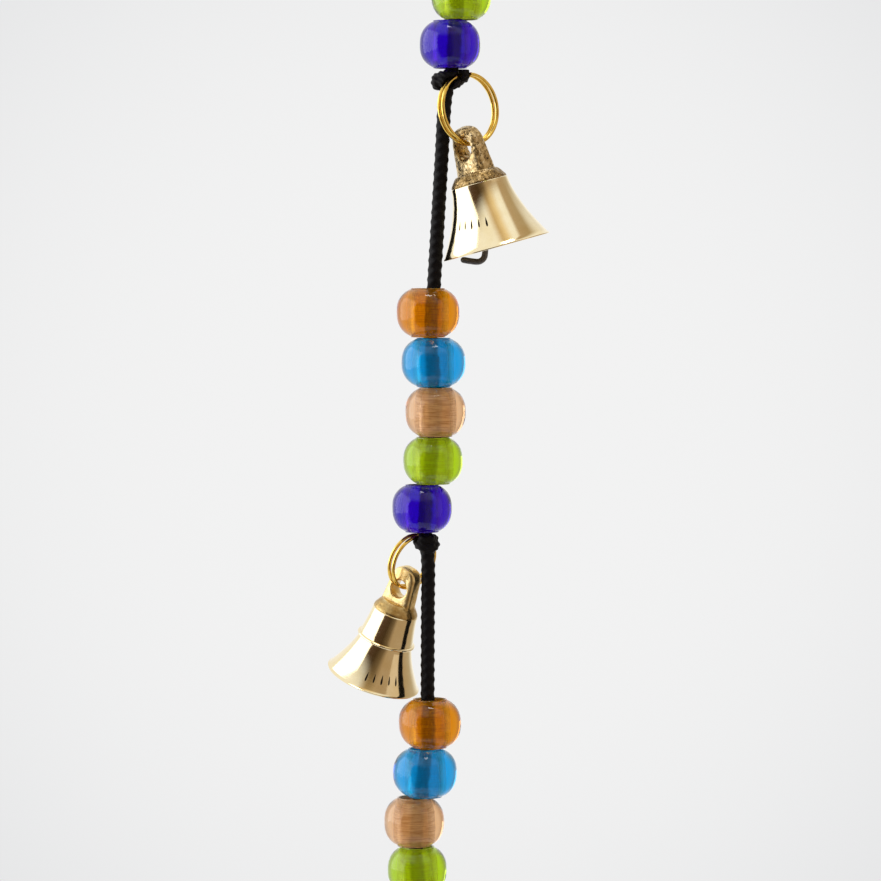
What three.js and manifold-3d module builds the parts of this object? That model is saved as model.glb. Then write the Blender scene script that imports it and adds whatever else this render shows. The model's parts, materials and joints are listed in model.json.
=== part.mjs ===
// A hanging bell chime: a knotted cord carries stacks of glass beads, and under each stack
// a brass bell hangs from the knot on a small split ring. Millimetres, +Z up, +X to the
// right and +Y away from the viewer. The origin is where a hook bears inside the top loop.
import * as THREE from 'three';
import { mergeVertices } from 'three/addons/utils/BufferGeometryUtils.js';
import Module from 'manifold-3d';

const wasm = await Module();
wasm.setup();

// Driving sizes, in millimetres
const clearance = 0.3;
const sliver = 0.01;
const cord = { diameter: 2.7, sides: 8, step: 6.5 };
const loop = { innerHeight: 20, innerWidth: 9, steps: 22, knotWidth: 6.7, legSpread: 1.05 };
const lead = { length: 8 };
const knot = {
  height: 4.2,
  ringWrap: 1.8,
  rounds: 12,
  wrapTilt: 24,
  upperRoll: 8,
  lowerRoll: -10,
};
// A knot's wraps and core as shares of its height, its width and the cord's radius
const knotShares = {
  upperRise: 0.1,
  lowerDrop: 0.14,
  squeeze: 0.95,
  lowerWrap: 0.72,
  core: 0.4,
  cordEnd: 0.3,
};
const bead = { hole: 5.6, squareness: 0.82, arcSteps: 8, segments: 18 };
const ring = { wire: 0.7, pitch: 1.12, turns: 1.96, endsAt: 22, stepsPerTurn: 24, sides: 6 };
const tunnel = { waist: 3.1, mouth: 4.6, length: 7, segments: 12 };
const lug = {
  thickness: 3.2,
  edge: 0.5,
  holeWaist: 3.8,
  holeMouth: 5.3,
  holeDepth: 4.6,
};
const shoulder = { rise: 1.8, inset: 1.4 };
const staple = { wire: 1, innerWidth: 2.8, drop: 3.2, socketDepth: 1.2 };
const clapper = {
  wire: 1.2,
  eyeInner: 2.2,
  eyeFrom: -50,
  eyeArc: 270,
  neck: 1.9,
  bend: 1.5,
  footRise: 0.35,
};

// The three splayed sizes of each bell: its mouth, its shoulder and the skirt between them
const bellSegments = 28;
const rimPoints = 72;
const skirtSteps = 6;
const plainBell = {
  mouthRadius: 10.6,
  skirtTopRadius: 5.55,
  skirtHeight: 13.1,
  flare: 1.6,
  wall: 0.9,
  crown: 1.3,
  holeHeight: 6.9,
  lug: { rise: 4.1, topRadius: 3.4, baseWidth: 8, baseThickness: 5.4 },
  clapper: { belowMouth: 3.1, foot: 2.6 },
};
const steppedBell = {
  mouthRadius: 9.3,
  skirtTopRadius: 5.35,
  skirtHeight: 8.3,
  flare: 1.35,
  wall: 0.9,
  crown: 1.3,
  holeHeight: 4.3,
  lug: { rise: 4.9, topRadius: 2.8, baseWidth: 6.8, baseThickness: 3.4 },
  clapper: { belowMouth: -2, foot: 0.9 },
  ridge: { proud: 0.45, height: 0.6 },
  drum: { topRadius: 4.5, height: 6 },
};

// Bead kinds from the top of a stack to its bottom
const beadKinds = [
  { name: 'amber', diameter: 12.2, height: 9.3, colour: 0xd9790b },
  { name: 'turquoise', diameter: 12.5, height: 9.3, colour: 0x1a8fc4 },
  { name: 'peach', diameter: 11.8, height: 9.3, colour: 0xe2a070 },
  { name: 'lime', diameter: 11.6, height: 8.9, colour: 0x9ccb12 },
  { name: 'cobalt', diameter: 11.7, height: 9, colour: 0x2b12b8 },
];

// One entry for each stack of beads and the bell under it. Bead shifts, entry and exit are
// shares of the play between cord and bead hole. Angles are in degrees: an azimuth runs from
// +X towards +Y, a lean is measured from plumb, and lugAt runs round the ring from its knot.
const stations = [
  {
    x: 1.2,
    bareAbove: 0,
    shifts: [[0.13, 0.1], [-0.2, -0.1], [0.3, 0.15], [0.81, -0.1], [-1.04, 0.05]],
    entry: [0, 0],
    exit: [0.34, 0],
    knotWidth: 6.7,
    cordBelow: -1.35,
    ringAt: [2.1, 0.4, 1.3],
    ringRadius: 6.7,
    ringLean: 9,
    ringAzimuth: 0,
    ringTurn: 41,
    lugAt: -168,
    lugTurn: 0,
    bellAzimuth: 0,
    bellLean: null,
    bell: plainBell,
  },
  {
    x: -3.87,
    bareAbove: 37.9,
    shifts: [[-0.34, -0.1], [0.59, 0.1], [0.93, -0.15], [0.5, 0.1], [-1.35, 0]],
    entry: [0.98, 0],
    exit: [0.5, 0],
    knotWidth: 5.4,
    cordBelow: 0.6,
    ringAt: [-0.4, 1.1, 1.3],
    ringRadius: 5.2,
    ringLean: 25,
    ringAzimuth: 180,
    ringTurn: 46,
    lugAt: 169,
    lugTurn: 12,
    bellAzimuth: 142.7,
    bellLean: 22.5,
    bell: steppedBell,
  },
  {
    x: -5.5,
    bareAbove: 28.2,
    shifts: [[1.4, 0.1], [0.59, -0.1], [-1.26, 0.1], [-0.76, 0], [-0.08, 0]],
    entry: [-0.4, 0],
    exit: [0, 0],
    knotWidth: 6,
    cordBelow: null,
    ringAt: [0, 0, 2.7],
    ringRadius: 6.2,
    ringLean: 0,
    ringAzimuth: 0,
    ringTurn: 35,
    lugAt: 180,
    lugTurn: 0,
    bellAzimuth: 0,
    bellLean: 0,
    bell: plainBell,
  },
];

// One side of the top loop, from its knot up, as shares of its half width and its height
const loopOutline = [
  [0.62, 0.72],
  [1, 0.38],
  [0.86, 0.12],
  [0.42, -0.05],
];

// Sizes that follow from the driving ones
const cordRadius = cord.diameter / 2;
const beadPlay = bead.hole / 2 - cordRadius - clearance;
const stackHeight =
  beadKinds.reduce((sum, kind) => sum + kind.height, 0) + clearance * (beadKinds.length - 1);
const ringBandCorner = Math.hypot(ring.pitch + ring.wire, ring.wire) / 2;
const strandLift = lug.holeWaist / 2 - ringBandCorner - clearance;
const straightShares = [0.3, 0.6, 0.9];
const up = new THREE.Vector3(0, 0, 1);

const materials = {
  cord: new THREE.MeshStandardMaterial({ color: 0x0b0b0d, roughness: 0.75, metalness: 0 }),
  ring: new THREE.MeshStandardMaterial({ color: 0xe3b23c, roughness: 0.22, metalness: 1 }),
  brass: new THREE.MeshStandardMaterial({ color: 0xd8bd7a, roughness: 0.18, metalness: 1 }),
  iron: new THREE.MeshStandardMaterial({ color: 0x4a4a4e, roughness: 0.5, metalness: 1 }),
};

function glassOf(kind) {
  return new THREE.MeshStandardMaterial({
    color: kind.colour,
    roughness: 0.12,
    metalness: 0,
    transparent: true,
    opacity: 0.8,
  });
}

const chime = new THREE.Group();

// Helpers for shapes

function radians(degrees) {
  return THREE.MathUtils.degToRad(degrees);
}

function vector(x, y, z) {
  return new THREE.Vector3(x, y, z);
}

function horizontal(azimuth) {
  return vector(Math.cos(radians(azimuth)), Math.sin(radians(azimuth)), 0);
}

function place(name, geometry, material, matrix) {
  const mesh = new THREE.Mesh(geometry, material);
  mesh.name = name;
  if (matrix) {
    matrix.decompose(mesh.position, mesh.quaternion, mesh.scale);
  }
  chime.add(mesh);
  return mesh;
}

// A rigid frame from its origin and two directions: z is kept, x is made square to it
function frameOf(origin, zAxis, xHint) {
  const z = zAxis.clone().normalize();
  const x = xHint.clone().addScaledVector(z, -xHint.dot(z)).normalize();
  const y = z.clone().cross(x);
  return new THREE.Matrix4().makeBasis(x, y, z).setPosition(origin);
}

function toSolid(geometry) {
  const bare = geometry.clone();
  bare.deleteAttribute('normal');
  bare.deleteAttribute('uv');
  const merged = mergeVertices(bare, 1e-4);
  const corners = [];
  const index = merged.index.array;
  for (let i = 0; i < index.length; i += 3) {
    const [a, b, c] = [index[i], index[i + 1], index[i + 2]];
    if (a !== b && b !== c && c !== a) {
      corners.push(a, b, c);
    }
  }
  return new wasm.Manifold(
    new wasm.Mesh({
      numProp: 3,
      vertProperties: new Float32Array(merged.attributes.position.array),
      triVerts: new Uint32Array(corners),
    }),
  );
}

function toGeometry(solid) {
  const mesh = solid.getMesh();
  const geometry = new THREE.BufferGeometry();
  geometry.setAttribute('position', new THREE.BufferAttribute(mesh.vertProperties, 3));
  geometry.setIndex(new THREE.BufferAttribute(mesh.triVerts, 1));
  geometry.computeVertexNormals();
  return geometry;
}

// Turns [radius, z] points round the Z axis
function lathe(points, segments) {
  const profile = points.map(([r, z]) => new THREE.Vector2(r, z));
  return new THREE.LatheGeometry(profile, segments).rotateX(Math.PI / 2);
}

function roundSection(diameter, sides) {
  const shape = new THREE.Shape();
  for (let i = 0; i < sides; i += 1) {
    const angle = (2 * Math.PI * i) / sides;
    const point = [(diameter / 2) * Math.cos(angle), (diameter / 2) * Math.sin(angle)];
    if (i === 0) {
      shape.moveTo(...point);
    } else {
      shape.lineTo(...point);
    }
  }
  shape.closePath();
  return shape;
}

function tube(curve, diameter, sides, steps) {
  return new THREE.ExtrudeGeometry(roundSection(diameter, sides), {
    extrudePath: curve,
    steps,
    curveSegments: 1,
    bevelEnabled: false,
  });
}

// A spool-shaped cutter along X: narrow in the middle and wide at its ends, like a worn hole
function spool(waist, mouth, length, segments) {
  const points = [
    [0, -length / 2],
    [mouth / 2, -length / 2],
    [waist / 2, -length / 8],
    [waist / 2, length / 8],
    [mouth / 2, length / 2],
    [0, length / 2],
  ];
  return toSolid(lathe(points, segments).rotateY(Math.PI / 2));
}

function pointsToCurve(points) {
  return new THREE.CatmullRomCurve3(points, false, 'centripetal');
}

// Beads

function beadProfile(kind) {
  const equator = kind.diameter / 2;
  const hole = bead.hole / 2;
  const lastAngle = Math.acos((hole / equator) ** (1 / bead.squareness));
  const fullRise = kind.height / 2 / Math.sin(lastAngle) ** bead.squareness;
  const points = [[hole, -kind.height / 2]];
  for (let i = 1; i < bead.arcSteps; i += 1) {
    const angle = lastAngle * ((2 * i) / bead.arcSteps - 1);
    const rise = fullRise * Math.sign(angle) * Math.abs(Math.sin(angle)) ** bead.squareness;
    points.push([equator * Math.cos(angle) ** bead.squareness, rise]);
  }
  points.push([hole, kind.height / 2]);
  points.push([hole, -kind.height / 2]);
  return points;
}

function addBeads(station, number, topZ) {
  const centres = [];
  let z = topZ;
  beadKinds.forEach((kind, i) => {
    const [shiftX, shiftY] = station.shifts[i];
    const centre = vector(
      station.x + shiftX * beadPlay,
      shiftY * beadPlay,
      z - kind.height / 2,
    );
    const geometry = lathe(beadProfile(kind), bead.segments);
    const matrix = new THREE.Matrix4().setPosition(centre);
    place(`${kind.name}_bead_${number}`, geometry, glassOf(kind), matrix);
    centres.push(centre);
    z -= kind.height + clearance;
  });
  return centres;
}

// Cord

// The cord's points through a stack: in at the top, midway between neighbours, out below
function routeThroughBeads(station, centres) {
  const first = centres[0];
  const last = centres[centres.length - 1];
  const route = [
    vector(
      first.x + station.entry[0] * beadPlay,
      first.y + station.entry[1] * beadPlay,
      first.z + beadKinds[0].height / 2,
    ),
  ];
  for (let i = 1; i < centres.length; i += 1) {
    const between = centres[i - 1].clone().lerp(centres[i], 0.5);
    between.z = centres[i].z + (beadKinds[i].height + clearance) / 2;
    route.push(between);
  }
  route.push(
    vector(
      last.x + station.exit[0] * beadPlay,
      last.y + station.exit[1] * beadPlay,
      last.z - beadKinds[beadKinds.length - 1].height / 2,
    ),
  );
  return route;
}

function straightTube(from, to) {
  return toSolid(tube(new THREE.LineCurve3(from, to), cord.diameter, cord.sides, 1));
}

function turned(geometry, tiltX, tiltY, centre) {
  return toSolid(
    geometry
      .rotateX(radians(tiltX))
      .rotateY(radians(tiltY))
      .translate(centre.x, centre.y, centre.z),
  );
}

// Two crossed wraps round the cord, flat on top where a bead rests on them
function knotSolid(top, bottom, width) {
  const wrap = (width - cord.diameter) / 2;
  const middle = top.clone().lerp(bottom, 0.5);
  const upper = middle.clone().add(vector(0, 0, knot.height * knotShares.upperRise));
  const lower = middle.clone().add(vector(0, 0, -knot.height * knotShares.lowerDrop));
  const thickness = cordRadius * knotShares.squeeze;
  const torus = (major) => new THREE.TorusGeometry(major, thickness, cord.sides, knot.rounds);
  const core = new THREE.SphereGeometry(1, cord.sides, cord.sides - 2).scale(
    width * knotShares.core,
    width * knotShares.core,
    knot.height * knotShares.core,
  );
  return straightTube(top, bottom)
    .add(turned(core, 0, 0, middle))
    .add(turned(torus(wrap), knot.upperRoll, knot.wrapTilt, upper))
    .add(turned(torus(wrap * knotShares.lowerWrap), knot.lowerRoll, -knot.wrapTilt, lower));
}

// The wrap that holds the split ring: a loop of the cord round the ring's wire
function ringWrap(ringFrame) {
  const strand = (tunnel.waist + knot.ringWrap) / 2;
  const loopRound = new THREE.TorusGeometry(strand, knot.ringWrap / 2, cord.sides, knot.rounds);
  return toSolid(loopRound.rotateY(Math.PI / 2).applyMatrix4(ringFrame));
}

// The way of the ring through its knot: widened at both ends, and clear of the whole ring
function tunnelSolid(ringFrame, ringRadius) {
  const path = new THREE.TorusGeometry(
    ringRadius,
    (ringBandCorner + clearance) / Math.cos(Math.PI / cord.sides),
    cord.sides,
    ring.stepsPerTurn,
  );
  path.rotateX(Math.PI / 2).translate(0, 0, -ringRadius);
  return spool(tunnel.waist, tunnel.mouth, tunnel.length, tunnel.segments)
    .add(toSolid(path))
    .transform(ringFrame.elements);
}

// Keeps what lies between two heights, so that a knot ends flat against its neighbours
function trimmed(solid, low, high) {
  const size = 60;
  const block = new THREE.BoxGeometry(size, size, high - low);
  return solid.intersect(toSolid(block.translate(0, 0, (low + high) / 2)));
}

// A cord end that turns against its neighbour is round, about the hinge point
function roundEnd(hinge) {
  const ball = new THREE.SphereGeometry(cordRadius, cord.sides, cord.sides - 2);
  return toSolid(ball.rotateX(Math.PI / 2).translate(hinge.x, hinge.y, hinge.z));
}

function hingeBelow(point) {
  return point.clone().add(vector(0, 0, -clearance - cordRadius));
}

// A cord's own origin is its hinge point. Crumbs and slivers that a cut leaves are dropped.
function placeCord(name, solid, hinge) {
  const bodies = solid.simplify(sliver).decompose().sort((a, b) => b.volume() - a.volume());
  const geometry = toGeometry(bodies[0].translate(-hinge.x, -hinge.y, -hinge.z));
  place(name, geometry, materials.cord, new THREE.Matrix4().setPosition(hinge));
}

// Split rings

// The ring's own frame: its origin at the knot, X along its wire, Z up to the ring's top
function ringFrameAt(station, point) {
  const towardsTop = horizontal(station.ringAzimuth)
    .multiplyScalar(-Math.sin(radians(station.ringLean)))
    .addScaledVector(up, Math.cos(radians(station.ringLean)));
  return frameOf(point, towardsTop, horizontal(station.ringTurn));
}

class RingCurve extends THREE.Curve {
  constructor(radius) {
    super();
    this.radius = radius;
  }

  // Both ends lie beside the knot, which hides them, and away from the bell
  getPoint(t, target = new THREE.Vector3()) {
    const angle = radians(ring.endsAt) + 2 * Math.PI * ring.turns * (t - 0.5);
    return target.set(
      this.radius * Math.sin(angle),
      ring.pitch * ring.turns * (t - 0.5),
      this.radius * (Math.cos(angle) - 1),
    );
  }
}

// Least gap between the two turns of a split ring, measured on points along its wire
function leastRingGap(radius) {
  const curve = new RingCurve(radius);
  const count = ring.stepsPerTurn * 8;
  const points = curve.getPoints(count);
  const halfTurn = count / ring.turns / 2;
  let least = Infinity;
  for (let i = 0; i < points.length; i += 1) {
    for (let j = i + Math.ceil(halfTurn); j < points.length; j += 1) {
      least = Math.min(least, points[i].distanceTo(points[j]));
    }
  }
  return least - ring.wire;
}

function addRing(station, number, ringFrame) {
  const steps = Math.round(ring.stepsPerTurn * ring.turns);
  const curve = new RingCurve(station.ringRadius);
  const geometry = tube(curve, ring.wire, ring.sides, steps);
  place(`split_ring_${number}`, geometry, materials.ring, ringFrame);
}

// The point on the ring where the bell's lug hangs, and the wire's direction there
function lugSeat(station, ringFrame) {
  const angle = radians(station.lugAt);
  const radius = station.ringRadius;
  const point = vector(radius * Math.sin(angle), 0, radius * (Math.cos(angle) - 1));
  const along = vector(-Math.cos(angle), 0, Math.sin(angle));
  return {
    point: point.applyMatrix4(ringFrame),
    along: along.transformDirection(ringFrame),
  };
}

// Bells

function bellHeight(bell) {
  return bell.skirtHeight + (bell.drum ? bell.drum.height + bell.ridge.height : 0);
}

function bellTopRadius(bell) {
  return bell.drum ? bell.drum.topRadius : bell.skirtTopRadius;
}

// From the hinge on the ring's wire down to the mouth, along the bell's axis
function hingeToMouth(bell) {
  return bellHeight(bell) + bell.holeHeight + strandLift;
}

function skirtRadius(bell, z) {
  const share = 1 - z / bell.skirtHeight;
  return bell.skirtTopRadius + (bell.mouthRadius - bell.skirtTopRadius) * share ** bell.flare;
}

function bellProfile(bell) {
  const height = bellHeight(bell);
  const innerTop = height - bell.crown;
  const topZ = height + shoulder.rise;
  const outer = [[0, topZ], [bellTopRadius(bell) - shoulder.inset, topZ]];
  outer.push([bellTopRadius(bell), height]);
  if (bell.drum) {
    const ridgeRadius = bell.skirtTopRadius + bell.ridge.proud;
    outer.push([bell.skirtTopRadius, bell.skirtHeight + bell.ridge.height]);
    outer.push([ridgeRadius, bell.skirtHeight + bell.ridge.height * 0.7]);
    outer.push([ridgeRadius, bell.skirtHeight + bell.ridge.height * 0.3]);
  }
  const inner = [];
  for (let i = 0; i <= skirtSteps; i += 1) {
    const z = bell.skirtHeight * (1 - i / skirtSteps);
    outer.push([skirtRadius(bell, z), z]);
    if (z < innerTop) {
      inner.unshift([skirtRadius(bell, z) - bell.wall, z]);
    }
  }
  const innerRadius = bellTopRadius(bell) - bell.wall;
  return [...outer, ...inner, [innerRadius, innerTop], [0, innerTop]].reverse();
}

// A lug with a round top, thin at the top and thick where it meets the crown
function lugSolid(bell) {
  const radius = bell.lug.topRadius;
  const half = lug.thickness / 2;
  const topZ = bellHeight(bell) + bell.holeHeight + bell.lug.rise - radius;
  const disc = [
    [0, -half],
    [radius - lug.edge, -half],
    [radius, lug.edge - half],
    [radius, half - lug.edge],
    [radius - lug.edge, half],
    [0, half],
  ];
  const top = lathe(disc, 24).rotateY(Math.PI / 2).translate(0, 0, topZ);
  const foot = new THREE.CylinderGeometry(1, 1, lug.edge, 20).rotateX(Math.PI / 2);
  foot.scale(bell.lug.baseThickness / 2, bell.lug.baseWidth / 2, 1);
  foot.translate(0, 0, bellHeight(bell) + shoulder.rise / 2);
  return wasm.Manifold.hull([toSolid(top), toSolid(foot)]);
}

// The staple's centreline: down one leg, round the bow and up the other
function staplePath(bell, legTop) {
  const crownZ = bellHeight(bell) - bell.crown;
  const half = (staple.innerWidth + staple.wire) / 2;
  const bowZ = crownZ - staple.drop + half;
  const points = [vector(0, -half, legTop)];
  const arcSteps = 8;
  for (let i = 0; i <= arcSteps; i += 1) {
    const angle = (Math.PI * i) / arcSteps;
    points.push(vector(0, -half * Math.cos(angle), bowZ - half * Math.sin(angle)));
  }
  points.push(vector(0, half, legTop));
  return points;
}

// The staple's lowest point, where the clapper hangs, as a height above the mouth
function clapperPivotZ(bell) {
  return bellHeight(bell) - bell.crown - staple.drop;
}

function addBell(bell, number, bellFrame, stapleTurn) {
  const segments = bellSegments;
  const hole = spool(lug.holeWaist, lug.holeMouth, lug.holeDepth, tunnel.segments);
  const body = toSolid(lathe(bellProfile(bell), segments)).add(lugSolid(bell));
  const crownZ = bellHeight(bell) - bell.crown;
  const socketRadius = staple.wire / 2 + clearance;
  const socketDepth = staple.socketDepth + clearance;
  let shell = body.subtract(hole.translate(0, 0, bellHeight(bell) + bell.holeHeight));
  for (const side of [-1, 1]) {
    const socket = new THREE.CylinderGeometry(socketRadius, socketRadius, 2 * socketDepth, 8);
    const offset = (side * (staple.innerWidth + staple.wire)) / 2;
    socket.rotateX(Math.PI / 2).translate(0, offset, crownZ).rotateZ(stapleTurn);
    shell = shell.subtract(toSolid(socket));
  }
  const hingeZ = hingeToMouth(bell);
  place(
    `bell_${number}`,
    toGeometry(shell.translate(0, 0, -hingeZ)),
    materials.brass,
    bellFrame,
  );
  const path = pointsToCurve(staplePath(bell, crownZ + staple.socketDepth));
  const wire = tube(path, staple.wire, ring.sides, 16);
  wire.rotateZ(stapleTurn).translate(0, 0, -hingeZ);
  place(`clapper_staple_${number}`, wire, materials.iron, bellFrame);
}

// A bent wire: an eye round the staple, a shank, and a foot turned to one side.
// Its frame is plumb, with its origin at the pivot and X in the direction the bell leans.
function addClapper(bell, number, clapperFrame) {
  const eyeRadius = (clapper.eyeInner + clapper.wire) / 2;
  const eyeZ = staple.wire / 2 + clearance - clapper.eyeInner / 2;
  const length = clapperPivotZ(bell) + bell.clapper.belowMouth - clapper.wire / 2;
  const points = [];
  const eyeSteps = 12;
  for (let i = 0; i <= eyeSteps; i += 1) {
    const angle = radians(clapper.eyeFrom + (clapper.eyeArc * i) / eyeSteps);
    points.push(vector(eyeRadius * Math.cos(angle), 0, eyeZ + eyeRadius * Math.sin(angle)));
  }
  points.push(vector(0, 0, eyeZ - eyeRadius * clapper.neck));
  const bendCentre = vector(-clapper.bend, 0, clapper.bend - length);
  const bendSteps = 4;
  for (let i = 0; i <= bendSteps; i += 1) {
    const angle = (-Math.PI / 2) * (i / bendSteps);
    points.push(
      vector(
        bendCentre.x + clapper.bend * Math.cos(angle),
        0,
        bendCentre.z + clapper.bend * Math.sin(angle),
      ),
    );
  }
  points.push(vector(bendCentre.x - bell.clapper.foot, 0, -length + clapper.footRise));
  const geometry = tube(pointsToCurve(points), clapper.wire, cord.sides, 30);
  place(`clapper_${number}`, geometry, materials.iron, clapperFrame);
}

// Leans a bell away from the cord until its rim just clears it. The search halves an angle.
function restingLean(bell, hinge, away, cordBelow) {
  const line = new THREE.Line3(cordBelow.from, cordBelow.to);
  const side = up.clone().cross(away);
  const rimGap = (lean) => {
    const axis = away.clone().multiplyScalar(Math.sin(lean));
    axis.addScaledVector(up, -Math.cos(lean));
    const outward = side.clone().cross(axis).normalize();
    const mouth = hinge.clone().addScaledVector(axis, hingeToMouth(bell));
    let least = Infinity;
    for (let i = 0; i < rimPoints; i += 1) {
      const angle = (2 * Math.PI * i) / rimPoints;
      const point = mouth.clone();
      point.addScaledVector(outward, bell.mouthRadius * Math.cos(angle));
      point.addScaledVector(side, bell.mouthRadius * Math.sin(angle));
      const nearest = line.closestPointToPoint(point, false, vector(0, 0, 0));
      least = Math.min(least, nearest.distanceTo(point));
    }
    return least - cordRadius - clearance;
  };
  let low = 0;
  let high = Math.PI / 3;
  for (let i = 0; i < 30; i += 1) {
    const middle = (low + high) / 2;
    if (rimGap(middle) > 0) {
      high = middle;
    } else {
      low = middle;
    }
  }
  return high;
}

function addHangingBell(station, number, ringFrame, cordBelow) {
  const bell = station.bell;
  const seat = lugSeat(station, ringFrame);
  const away = horizontal(station.bellAzimuth);
  const lean =
    station.bellLean === null
      ? restingLean(bell, seat.point, away, cordBelow)
      : radians(station.bellLean);
  const bellUp = away.clone().multiplyScalar(-Math.sin(lean));
  bellUp.addScaledVector(up, Math.cos(lean));
  const holeDirection = seat.along.applyAxisAngle(up, radians(station.lugTurn));
  const bellFrame = frameOf(seat.point, bellUp, holeDirection);
  const across = up.clone().cross(away);
  const holeAxis = vector(1, 0, 0).transformDirection(bellFrame);
  const otherAxis = vector(0, 1, 0).transformDirection(bellFrame);
  const stapleTurn = Math.atan2(across.dot(otherAxis), across.dot(holeAxis)) - Math.PI / 2;
  addBell(bell, number, bellFrame, stapleTurn);
  const pivot = vector(0, 0, clapperPivotZ(bell) - hingeToMouth(bell));
  addClapper(bell, number, frameOf(pivot.applyMatrix4(bellFrame), up, away));
}

// The whole chime, from its loop down

function addLoop() {
  const half = loop.innerWidth / 2 + cordRadius;
  const knotTop = -loop.innerHeight;
  const knotBottom = knotTop - knot.height;
  const inside = cordRadius * loop.legSpread;
  const points = [
    vector(inside, 0, knotTop - knot.height / 2),
    vector(inside, 0, knotTop),
    ...loopOutline.map(([across, along]) => vector(half * across, 0, knotTop * along)),
    vector(0, 0, cordRadius),
  ];
  const otherSide = points.slice(0, -1).reverse().map((p) => vector(-p.x, 0, p.z));
  const curve = pointsToCurve([...points, ...otherSide]);
  const bow = toSolid(tube(curve, cord.diameter, cord.sides, loop.steps));
  const stub = vector(stations[0].x, 0, knotBottom);
  const shape = bow.add(knotSolid(vector(0, 0, knotTop), stub, loop.knotWidth));
  const whole = trimmed(shape, knotBottom, loop.innerHeight);
  place('hanging_loop', toGeometry(whole), materials.cord);
  return stub;
}

function addLead(from, to) {
  const hinge = hingeBelow(from);
  placeCord('lead_cord', straightTube(hinge, to).add(roundEnd(hinge)), hinge);
}

// Extra points that keep the bare cord between a knot and the next bead straight
function straightPoints(from, to) {
  return straightShares.map((share) => from.clone().lerp(to, share));
}

function strandSteps(points) {
  return Math.ceil(pointsToCurve(points).getLength() / cord.step);
}

const loopStub = addLoop();
const firstBeadTop = loopStub.z - lead.length;
const leadEnd = vector(loopStub.x, 0, firstBeadTop + cord.diameter);
addLead(loopStub, leadEnd);

let stackTop = firstBeadTop;

const layouts = stations.map((station, i) => {
  if (i > 0) {
    stackTop -= station.bareAbove;
  }
  const centres = addBeads(station, i + 1, stackTop);
  const route = routeThroughBeads(station, centres);
  const knotTop = route[route.length - 1].clone();
  stackTop -= stackHeight;
  const knotBottom = knotTop.clone().add(vector(station.cordBelow ?? 0, 0, -knot.height));
  knotTop.z -= clearance;
  knotBottom.z -= clearance;
  stackTop = knotBottom.z;
  return { station, route, knotTop, knotBottom };
});

layouts.forEach((layout, i) => {
  const { station, route, knotTop, knotBottom } = layout;
  const [ringX, ringY, ringDrop] = station.ringAt;
  const ringPoint = vector(knotTop.x + ringX, knotTop.y + ringY, knotTop.z + clearance - ringDrop);
  const ringFrame = ringFrameAt(station, ringPoint);
  const start = i === 0 ? leadEnd : layouts[i - 1].knotBottom;
  const hinge = hingeBelow(start);
  const insideKnot = knotTop.clone().lerp(knotBottom, knotShares.cordEnd);
  const path = [hinge, ...straightPoints(hinge, route[0]), ...route, insideKnot];
  const knotWork = knotSolid(knotTop, knotBottom, station.knotWidth).add(ringWrap(ringFrame));
  const shape = toSolid(
    tube(pointsToCurve(path), cord.diameter, cord.sides, strandSteps(path)),
  )
    .add(roundEnd(hinge))
    .add(trimmed(knotWork, knotBottom.z, knotTop.z))
    .subtract(tunnelSolid(ringFrame, station.ringRadius));
  placeCord(`strand_cord_${i + 1}`, shape, hinge);
  addRing(station, i + 1, ringFrame);
  const next = layouts[i + 1];
  const below = next && { from: hingeBelow(knotBottom), to: next.route[0] };
  addHangingBell(station, i + 1, ringFrame, below);
});

const gaps = stations.map((station) => leastRingGap(station.ringRadius).toFixed(2));
console.log(`Least gap between the turns of each split ring: ${gaps.join(', ')} mm`);

export default chime;
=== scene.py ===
"""A hanging bell chime: a knotted braided cord, stacks of glass beads, and small brass bells
on split rings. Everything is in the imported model's frame. Named sizes are in millimetres."""
import json
import math
import random

import bmesh
import bpy
from mathutils import Matrix, Vector, noise


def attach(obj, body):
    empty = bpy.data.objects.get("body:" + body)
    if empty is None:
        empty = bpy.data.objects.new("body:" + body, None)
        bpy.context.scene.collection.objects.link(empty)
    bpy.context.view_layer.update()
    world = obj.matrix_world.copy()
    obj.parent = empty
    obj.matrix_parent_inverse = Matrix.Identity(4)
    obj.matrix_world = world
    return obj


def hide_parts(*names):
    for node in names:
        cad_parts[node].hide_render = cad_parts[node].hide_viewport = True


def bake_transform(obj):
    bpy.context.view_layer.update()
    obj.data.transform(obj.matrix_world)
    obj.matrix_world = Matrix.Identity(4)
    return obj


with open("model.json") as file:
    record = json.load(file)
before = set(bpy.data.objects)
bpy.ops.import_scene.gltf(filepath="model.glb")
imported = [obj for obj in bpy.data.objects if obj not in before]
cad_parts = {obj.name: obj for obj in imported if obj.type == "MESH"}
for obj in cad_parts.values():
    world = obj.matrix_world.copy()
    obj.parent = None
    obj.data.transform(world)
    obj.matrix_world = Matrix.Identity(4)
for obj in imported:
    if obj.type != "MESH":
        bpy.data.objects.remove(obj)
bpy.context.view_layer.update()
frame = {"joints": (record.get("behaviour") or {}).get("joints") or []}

MM = 0.001
RANDOM_SEED = 7
random.seed(RANDOM_SEED)

# The photograph's frame and the scale that its beads give
PHOTO_SIDE_PX = 881
PX_PER_MM = 5.17
PHOTO_X0_PX = 450
PHOTO_Z0_PX = -340
CAMERA_DISTANCE = 700 * MM
CAMERA_LEVEL_PX = 250
CAMERA_NEAR = 10 * MM
CAMERA_FAR = 30000 * MM

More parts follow.
